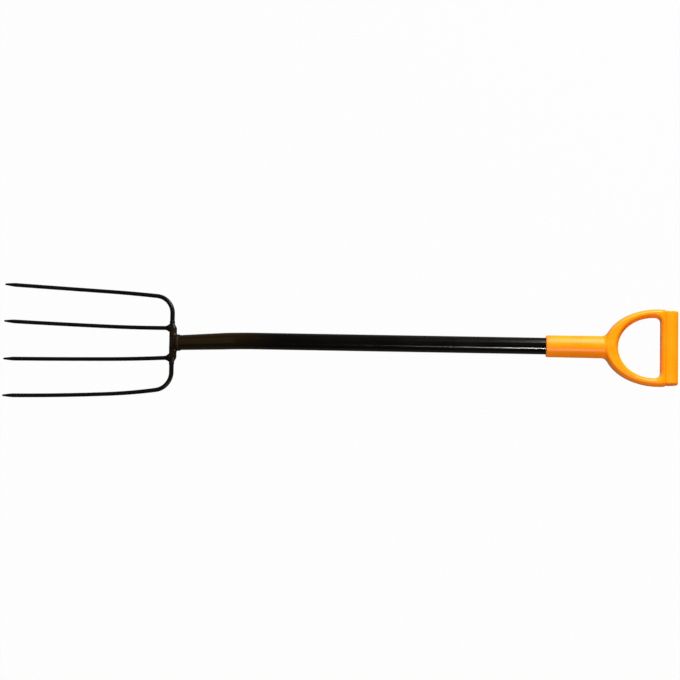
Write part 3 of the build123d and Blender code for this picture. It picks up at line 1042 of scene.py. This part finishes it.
def drop_field(y, z, clearance):
    """Distance to the tube's outline, opened by a clearance."""
    keel_centre = TUBE_KEEL_DEPTH - TUBE_KEEL_RADIUS
    lean = math.asin((TUBE_BACK_RADIUS - TUBE_KEEL_RADIUS) / keel_centre)
    wide = np.abs(y)
    along = -z * math.cos(lean) - wide * math.sin(lean)
    flank = wide * math.cos(lean) - z * math.sin(lean) - TUBE_BACK_RADIUS
    back = np.hypot(wide, z) - TUBE_BACK_RADIUS
    keel = np.hypot(wide, z + keel_centre) - TUBE_KEEL_RADIUS
    field = np.where(along < 0, back, np.where(along > keel_centre * math.cos(lean), keel, flank))
    return field - clearance


FIELD_BAND = 4              # voxels on each side of the surface
SURFACE_PASSES = 3
NUDGES_PER_VOXEL = 50
LEAST_STEEPNESS = 0.2


def field_piece(name, field, low, high, voxel):
    """Closed mesh of a field's zero surface, with its points drawn onto the exact surface."""
    steps = [int(math.ceil((top - bottom) / voxel)) + 1 for bottom, top in zip(low, high)]
    axes = [bottom + voxel * np.arange(count) for bottom, count in zip(low, steps)]
    x, y, z = np.meshgrid(*axes, indexing="ij", sparse=True)
    values = np.broadcast_to(field(x, y, z), steps).astype(np.float32)
    grid = openvdb.FloatGrid(FIELD_BAND * voxel)
    grid.copyFromArray(np.ascontiguousarray(values))
    points, quads = grid.convertToQuads(0.0)
    points = points.astype(float) * voxel + np.array(low)
    nudge = voxel / NUDGES_PER_VOXEL
    for _ in range(SURFACE_PASSES):
        here = field(*points.T)
        slope = np.empty_like(points)
        for axis, step in enumerate(np.eye(3) * nudge):
            rise = field(*(points + step).T) - field(*(points - step).T)
            slope[:, axis] = rise / (2 * nudge)
        steepness = np.maximum((slope**2).sum(1), LEAST_STEEPNESS)
        move = np.clip(here / steepness, -voxel / 2, voxel / 2)
        points -= slope * move[:, None]
    return mesh_piece(name, points, quads)


# ---------------------------------------------------------------- yoke

def yoke_field(x, y, z):
    """Forged cross-piece with its round hub, in the tool's frame."""
    dx = x - YOKE_MIDDLE.x
    dz = z - YOKE_MIDDLE.z
    forward = dx * HEAD_DIR.x + dz * HEAD_DIR.z
    rise = -dx * HEAD_DIR.z + dz * HEAD_DIR.x
    wide = np.abs(y)
    past_block = wide - YOKE_BLOCK_HALF + YOKE_TAPER_OVERRUN
    thin = smooth_step(past_block / (YOKE_HALF - YOKE_BLOCK_HALF + YOKE_TAPER_OVERRUN))
    half_width = YOKE_WIDTH / 2 + (ROD_RADIUS - YOKE_WIDTH / 2) * thin
    half_height = YOKE_HEIGHT / 2 + (ROD_RADIUS - YOKE_HEIGHT / 2) * thin
    corner = YOKE_ROUNDNESS * 2 * np.minimum(half_width, half_height)
    corner = corner * (1 + YOKE_END_ROUNDER * thin)
    side = np.abs(forward - ROD_FORWARD * thin) - half_width + corner
    top = np.abs(rise) - half_height + corner
    bar = np.hypot(np.maximum(side, 0), np.maximum(top, 0))
    bar = bar + np.minimum(np.maximum(side, top), 0) - corner
    bar = rounded_cut(bar, wide - YOKE_HALF, YOKE_END_EDGE)
    up_neck = dx * NECK_DIR.x + dz * NECK_DIR.z
    off_neck = -dx * NECK_DIR.z + dz * NECK_DIR.x
    round_hub = np.hypot(y, off_neck) - NECK_RADIUS
    hub = rounded_cut(round_hub, -up_neck, HUB_EDGE)
    hub = rounded_cut(hub, up_neck - HUB_LENGTH, YOKE_END_EDGE)
    return soft_union(bar, hub, YOKE_FILLET)


MARK_LEVEL = 0.55           # the noise value that leaves the skin where it is


def forged_skin_tree():
    """Pushes a mesh in and out a little, as hammer and scale leave it."""
    tree, given = growing_tree(
        "forged_skin",
        {"Mesh": "NodeSocketGeometry", "Depth": 0.2, "Marks per mm": 0.15},
        "Skin",
    )
    place = node(tree, "GeometryNodeInputPosition").outputs[0]
    marks = noise(tree, place, given["Marks per mm"], 3.0, {"Roughness": 0.45})
    depth = swing(tree, marks, given["Depth"], MARK_LEVEL)
    return grow(tree, "Skin", pushed_out(tree, given["Mesh"], depth), given["Finish"])


# Room round the yoke's middle that its field is worked out in.
YOKE_ROOM_LOW = 19
YOKE_ROOM_BACK = 20
YOKE_ROOM_UP = 21
YOKE_ROOM_SIDE = 3


def yoke():
    """Forged yoke, blended in one skin."""
    width = YOKE_HALF + YOKE_ROOM_SIDE
    low = (YOKE_MIDDLE.x - YOKE_ROOM_LOW, -width, YOKE_MIDDLE.z - YOKE_ROOM_LOW)
    high = (YOKE_MIDDLE.x + YOKE_ROOM_BACK, width, YOKE_MIDDLE.z + YOKE_ROOM_UP)
    blank = field_piece("yoke_blank", yoke_field, low, high, YOKE_VOXEL)
    return grown(
        "forged_yoke",
        forged_skin_tree(),
        {"Depth": HAMMER_DEPTH, "Marks per mm": HAMMER_MARKS_PER_MM, "Finish": HEAD_COAT},
        source=blank,
    )


fit(yoke(), ["yoke"], HEAD_COAT)


# ---------------------------------------------------------------- welds

FLARE_SEED = 7.0
BUTT_SEED = 3
NECK_SEED = 5


def bead(name, middle, direction, radius, half, height, pitch, seed):
    """Rippled bead round a seam, at its place."""
    drops = int(2 * math.pi * radius / pitch)
    ring = grown(
        name,
        WELD_BEAD,
        {
            "Ring radius": radius,
            "Drops": drops,
            "Drop length": pitch * DROP_OVERLAP,
            "Drop width": half,
            "Drop height": height,
            "Voxel": height / BEAD_VOXELS_HIGH,
            "Seed": seed,
            "Finish": WELD_COAT,
        },
    )
    turn = Vector((0, 0, 1)).rotation_difference(direction).to_matrix().to_4x4()
    ring.data.transform(Matrix.Translation(middle) @ turn)
    return ring


def flare(name, side):
    """Flared weld where an inner tine leaves the yoke, with its ripples round it."""
    heading = inner_heading(side)
    root = YOKE_MIDDLE + Vector((0, side * INNER_ROOT_HALF, 0))
    stations = []
    for share in np.linspace(0, 1, FLARE_STEPS):
        reach = FLARE_START + (FLARE_END - FLARE_START) * share
        skirt = max(0.0, (reach - YOKE_WIDTH / 2) / (FLARE_END - YOKE_WIDTH / 2))
        left = (1 - skirt) ** FLARE_HOLLOWNESS
        radius = INNER_ROOT_RADIUS + (FLARE_RADIUS - INNER_ROOT_RADIUS) * left
        stations.append((root + heading * reach, radius))
    return grown(
        name,
        DRAWN_ROD,
        {
            "Sides": FLARE_SIDES,
            "Unevenness": 0.5,
            "Unevenness per mm": 0.22,
            "Ring height": 0.35,
            "Ring pitch": 3.4,
            "Seed": FLARE_SEED + side,
            "Finish": WELD_COAT,
        },
        source=curve_object(name + "_path", stations),
    )


def tine_welds():
    """The flares of the inner tines and the beads where the outer rods meet the yoke."""
    parts = []
    for side in (1, -1):
        parts.append(flare("flare", side))
        parts.append(
            bead(
                "butt",
                ROD_LINE + Vector((0, side * YOKE_HALF, 0)),
                Vector((0, 1, 0)),
                ROD_RADIUS,
                BUTT_HALF,
                BUTT_HEIGHT,
                BUTT_PITCH,
                BUTT_SEED + side,
            )
        )
    return joined("tine_weld_beads", parts)


fit(tine_welds(), ["tine_welds"], WELD_COAT)
fit(
    bead(
        "neck_weld_bead",
        NECK_SEAM,
        NECK_DIR,
        NECK_RADIUS,
        NECK_BEAD_HALF,
        NECK_BEAD_HEIGHT,
        NECK_BEAD_PITCH,
        NECK_SEED,
    ),
    ["neck_weld"],
    WELD_COAT,
)


# ---------------------------------------------------------------- grip

def bar_field(x, y, z):
    """The cross-bar: an oval along Y, cut flat on its far side, with rounded ends."""
    rise = z + GRIP_DROP
    oval = ellipse_field(x - BAR_MIDDLE, rise, BAR_HALF_DEPTH, BAR_HALF_HEIGHT)
    oval = rounded_cut(oval, x - BAR_FACE, BAR_EDGE)
    return rounded_cut(oval, np.abs(y) - BAR_HALF_LENGTH, BAR_EDGE)


def ring_field(x, y, z):
    """The D ring: half an ellipse with an opening, thick at the socket, thin along its arms."""
    outline = ellipse_field(x - RING_CENTRE, y, RING_REACH, RING_HALF_WIDTH)
    opening = ellipse_field(x - OPENING_CENTRE, y, OPENING_REACH, OPENING_HALF_WIDTH)
    opening = rounded_cut(opening, x - BAR_INNER, OPENING_CORNER)
    plan = np.maximum(outline, -opening)
    thinning = smooth_step((x - RING_START - RING_FULL_LENGTH) / RING_THINNING)
    half_height = RING_ROOT_HEIGHT + (RING_ARM_HEIGHT - RING_ROOT_HEIGHT) * thinning
    side = np.abs(z + GRIP_DROP) - half_height
    return rounded_cut(plan, side * RING_EDGE / (RING_CROWN * half_height), RING_EDGE)


SEAT_STEEPNESS = 0.8        # makes a cone's field about as steep as a distance


def grip_body_field(x, y, z):
    """Socket, ring and the near half of the bar, with the tube's bore and the screw's seat."""
    rise = z + GRIP_DROP
    reach = x - SHAFT_RUN
    widening = (SOCKET_END_RADIUS - SOCKET_MOUTH_RADIUS) / SOCKET_LENGTH
    radius = SOCKET_MOUTH_RADIUS + widening * reach
    off_axis = np.hypot(y, rise)
    socket = rounded_cut(off_axis - radius, -reach, MOUTH_EDGE)
    socket = rounded_cut(socket, reach - SOCKET_LENGTH - SOCKET_INTO_RING, MOUTH_EDGE)
    shoulder = SHOULDER_FILLET + SHOULDER_SIDE_FILLET * y**2 / (off_axis**2 + 1)
    body = soft_union(socket, ring_field(x, y, z), shoulder)
    body = soft_union(body, bar_field(x, y, z), BAR_FILLET)
    body = rounded_cut(body, x - SEAM + SEAM_GAP / 2, SEAM_EDGE)
    bore = np.maximum(drop_field(y, z, BORE_CLEARANCE), reach - TUBE_IN_GRIP)
    from_screw = np.hypot(x - SCREW_PLACE, y)
    sink = z - SCREW_HEAD_LEVEL
    narrowing = np.clip(sink, 0, SCREW_HEAD_HEIGHT) * HEAD_SLOPE
    cone = (from_screw - SCREW_HEAD_RADIUS - SEAT_CLEARANCE + narrowing) * SEAT_STEEPNESS
    seat = np.maximum(cone, sink - SCREW_HEAD_HEIGHT - SEAT_EXTRA_DEPTH)
    body = rounded_cut(body, -seat, SEAT_EDGE)
    return rounded_cut(body, -bore, BORE_EDGE)


def grip_cap_field(x, y, z):
    """The far half of the bar, which closes it along the seam."""
    return rounded_cut(bar_field(x, y, z), SEAM + SEAM_GAP / 2 - x, SEAM_EDGE)


def grip_pieces():
    """Moulded body and cap of the grip."""
    margin = 3
    width = RING_HALF_WIDTH + margin
    bottom = -GRIP_DROP - RING_ROOT_HEIGHT - margin
    top = -GRIP_DROP + RING_ROOT_HEIGHT + margin
    body = field_piece(
        "moulded_grip_body",
        grip_body_field,
        (SHAFT_RUN - margin, -width, bottom),
        (SEAM + margin, width, top),
        BODY_VOXEL,
    )
    cap = field_piece(
        "moulded_grip_cap",
        grip_cap_field,
        (SEAM - margin, -width, bottom),
        (BAR_FACE + margin, width, top),
        CAP_VOXEL,
    )
    return body, cap


grip_body, grip_cap = grip_pieces()
fit(grip_body, ["grip_body"], GRIP_ORANGE)
fit(grip_cap, ["grip_cap"], GRIP_ORANGE)


# ---------------------------------------------------------------- grip screw

HEAD_STEEPNESS = 0.77       # these make the fields about as steep as a distance
THREAD_STEEPNESS = 0.75
THREAD_START = 0.5          # above the head's face
LEAST_SHANK_SHARE = 0.05    # of its radius, left at the point


def screw_field(x, y, z):
    """Countersunk screw with a cross recess and a cut thread, head down."""
    dx = x - SCREW_PLACE
    sink = z - SCREW_HEAD_LEVEL
    off = np.hypot(dx, y)
    head = (off - SCREW_HEAD_RADIUS + np.maximum(sink, 0) * HEAD_SLOPE) * HEAD_STEEPNESS
    head = rounded_cut(head, -sink, SCREW_EDGE)
    head = rounded_cut(head, sink - SCREW_HEAD_HEIGHT, SEAT_CLEARANCE)
    turn = np.arctan2(y, dx) / (2 * math.pi)
    phase = sink / THREAD_PITCH - turn
    crest = np.abs(phase - np.round(phase)) * 2
    thin = np.clip((SCREW_LENGTH - sink) / SCREW_POINT_LENGTH, LEAST_SHANK_SHARE, 1)
    shank = (off - (SCREW_RADIUS - THREAD_DEPTH * crest) * thin) * THREAD_STEEPNESS
    shank = np.maximum(np.maximum(shank, -sink + THREAD_START), sink - SCREW_LENGTH)
    screw = np.minimum(head, shank)
    near = np.minimum(np.abs(dx), np.abs(y))
    far = np.maximum(np.abs(dx), np.abs(y))
    recess = np.maximum(near - RECESS_HALF_WIDTH, far - RECESS_REACH + sink * RECESS_SLOPE)
    recess = np.maximum(recess, sink - RECESS_DEPTH)
    return np.maximum(screw, -recess)


def grip_screw():
    """Screw that keeps the grip on the tube, from below."""
    margin = 1
    reach = SCREW_HEAD_RADIUS + margin
    low = (SCREW_PLACE - reach, -reach, SCREW_HEAD_LEVEL - margin)
    high = (SCREW_PLACE + reach, reach, SCREW_HEAD_LEVEL + SCREW_LENGTH + margin)
    return field_piece("threaded_grip_screw", screw_field, low, high, SCREW_VOXEL)


fit(grip_screw(), ["grip_screw"], SCREW_ZINC)


# ---------------------------------------------------------------- floor, light and camera

FLOOR_HALF = 40.0           # metres
FLOOR_PAPER = (0.15, 0.15, 0.15, 1)
WHITE_TO_CAMERA = 0.98      # the rest of the floor's look is paper, with its shadow
WHITE_TO_MIRRORS = 0.07
ROOM_GREY = (0.06, 0.06, 0.06, 1)

SHAFT_LEVEL = 0.05          # metres over the floor, where the lamps are aimed

# Name, place, aimed at, length and width, watts and colour of each lamp.
LAMPS = (
    ("key_softbox", (0.79, 1.46, 0.90), (0.79, 0.0, SHAFT_LEVEL), (0.5, 1.3), 78.0, (1, 1, 1)),
    ("near_strip", (0.47, -0.98, 1.16), (0.47, 0.0, SHAFT_LEVEL), (0.14, 0.02), 12.0, (1, 1, 1)),
    ("far_strip", (0.37, -0.98, 1.16), (0.37, 0.0, SHAFT_LEVEL), (0.34, 0.02), 1.7, (1, 1, 1)),
    (
        "tine_fill",
        (-1.16, 0.1, 1.36),
        (-0.24, 0.0, SHAFT_LEVEL),
        (0.8, 2.4),
        3.4,
        (1.0, 0.75, 0.5),
    ),
)

CAMERA_LEAN = math.radians(8)       # towards the fork's right
CAMERA_ROLL = math.radians(1.0)
CAMERA_DISTANCE = 8.0               # metres
CAMERA_AIM = (180, 4.6, 0)          # in the tool's frame
CAMERA_LENS = 235.7
CAMERA_SENSOR = 36
CAMERA_NEAR = 0.05
CAMERA_FAR = 100


def studio_floor():
    """Floor that the camera sees as nearly plain white, with a little of that in reflections."""
    corners = ((-1, -1), (1, -1), (1, 1), (-1, 1))
    floor = mesh_piece(
        "studio_floor",
        [(x * FLOOR_HALF, y * FLOOR_HALF, 0) for x, y in corners],
        [(0, 1, 2, 3)],
    )
    material, tree = new_material("studio_floor_white")
    rays = node(tree, "ShaderNodeLightPath").outputs
    mirrored = math_node(tree, "MAXIMUM", rays["Is Glossy Ray"], rays["Is Transmission Ray"])
    paper = node(tree, "ShaderNodeBsdfDiffuse", {"Color": FLOOR_PAPER})
    white = node(tree, "ShaderNodeEmission", {"Color": (1, 1, 1, 1), "Strength": 1.0})
    direct = math_node(tree, "MULTIPLY", rays["Is Camera Ray"], WHITE_TO_CAMERA)
    reflected = math_node(tree, "MULTIPLY", mirrored, WHITE_TO_MIRRORS)
    share = math_node(tree, "MAXIMUM", direct, reflected)
    halves = {0: share, 1: paper.outputs[0], 2: white.outputs[0]}
    floor.data.materials.append(surfaced(material, "ShaderNodeMixShader", halves))


def softbox(name, place, target, size, power, colour):
    """Rectangular lamp aimed at a target, its first side along the tool."""
    lamp = bpy.data.lights.new(name, "AREA")
    lamp.shape = "RECTANGLE"
    lamp.size, lamp.size_y = size
    lamp.energy = power
    lamp.color = colour
    holder = bpy.data.objects.new(name, lamp)
    away = (Vector(place) - Vector(target)).normalized()
    side = Vector((1, 0, 0))
    side = (side - away * side.dot(away)).normalized()
    turn = Matrix((side, away.cross(side), away)).transposed()
    holder.matrix_world = Matrix.Translation(Vector(place)) @ turn.to_4x4()
    bpy.context.scene.collection.objects.link(holder)


def studio_light():
    """Large key over the grip's left, two strips on its right, and a warm fill over the tines."""
    for lamp in LAMPS:
        softbox(*lamp)
    world = bpy.data.worlds.new("studio_room")
    world.use_nodes = True
    background = world.node_tree.nodes["Background"]
    background.inputs["Color"].default_value = ROOM_GREY
    background.inputs["Strength"].default_value = 1.0
    bpy.context.scene.world = world


def camera():
    """Looks square at the shaft from the load side, leaning a little to the fork's right."""
    tool_turn = PLACEMENT.to_3x3().normalized()
    back = tool_turn @ Vector((0, -math.sin(CAMERA_LEAN), math.cos(CAMERA_LEAN)))
    up = tool_turn @ Vector((0, math.cos(CAMERA_LEAN), math.sin(CAMERA_LEAN)))
    right = up.cross(back)
    rolled_right = right * math.cos(CAMERA_ROLL) + up * math.sin(CAMERA_ROLL)
    rolled_up = up * math.cos(CAMERA_ROLL) - right * math.sin(CAMERA_ROLL)
    data = bpy.data.cameras.new("studio_camera")
    data.lens = CAMERA_LENS
    data.sensor_width = CAMERA_SENSOR
    data.clip_start = CAMERA_NEAR
    data.clip_end = CAMERA_FAR
    holder = bpy.data.objects.new("studio_camera", data)
    place = PLACEMENT @ Vector(CAMERA_AIM) + back * CAMERA_DISTANCE
    turn = Matrix((rolled_right, rolled_up, back)).transposed()
    holder.matrix_world = Matrix.Translation(place) @ turn.to_4x4()
    bpy.context.scene.collection.objects.link(holder)
    bpy.context.scene.camera = holder


studio_floor()
studio_light()
camera()
bpy.context.scene.view_settings.view_transform = "Standard"
